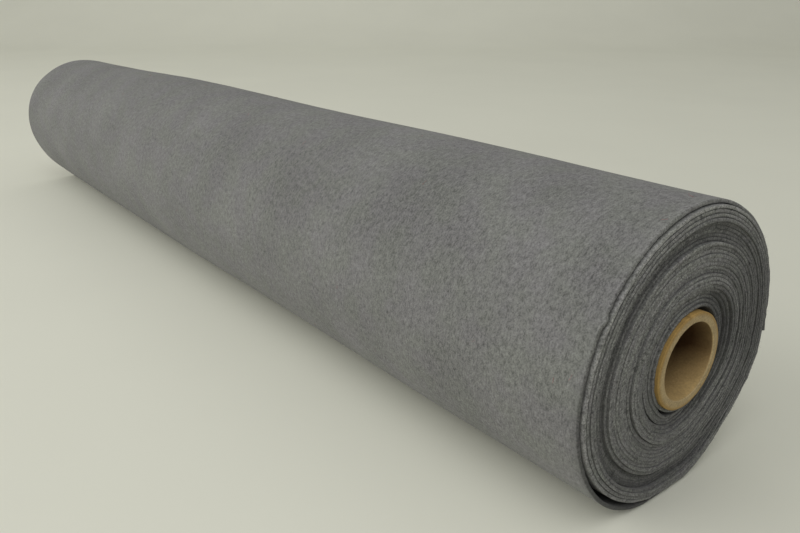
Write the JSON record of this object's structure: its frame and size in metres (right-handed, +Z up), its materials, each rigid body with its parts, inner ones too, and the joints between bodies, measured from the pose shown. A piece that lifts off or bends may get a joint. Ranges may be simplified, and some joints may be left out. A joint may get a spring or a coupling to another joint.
{
  "type": "roll of felt on a cardboard core",
  "caption": "Roll of grey felt cloth wound on a cardboard tube that shows at both ends, lying on its side with a small flat spot underneath.",
  "frame": {"origin": "middle of the roll's base, on the surface that it lies on", "axes": "+X along the tube's axis towards the end whose core stands out, +Z up, -Y the side that faces the picture's camera"},
  "size_m": [1.005, 0.1786, 0.1742],
  "materials": {
    "felt": "matte mottled grey needle felt",
    "cardboard": "matte brown wound cardboard"
  },
  "bodies": {
    "root": {"felt_roll": "felt", "core_tube": "cardboard"}
  },
  "joints": []
}
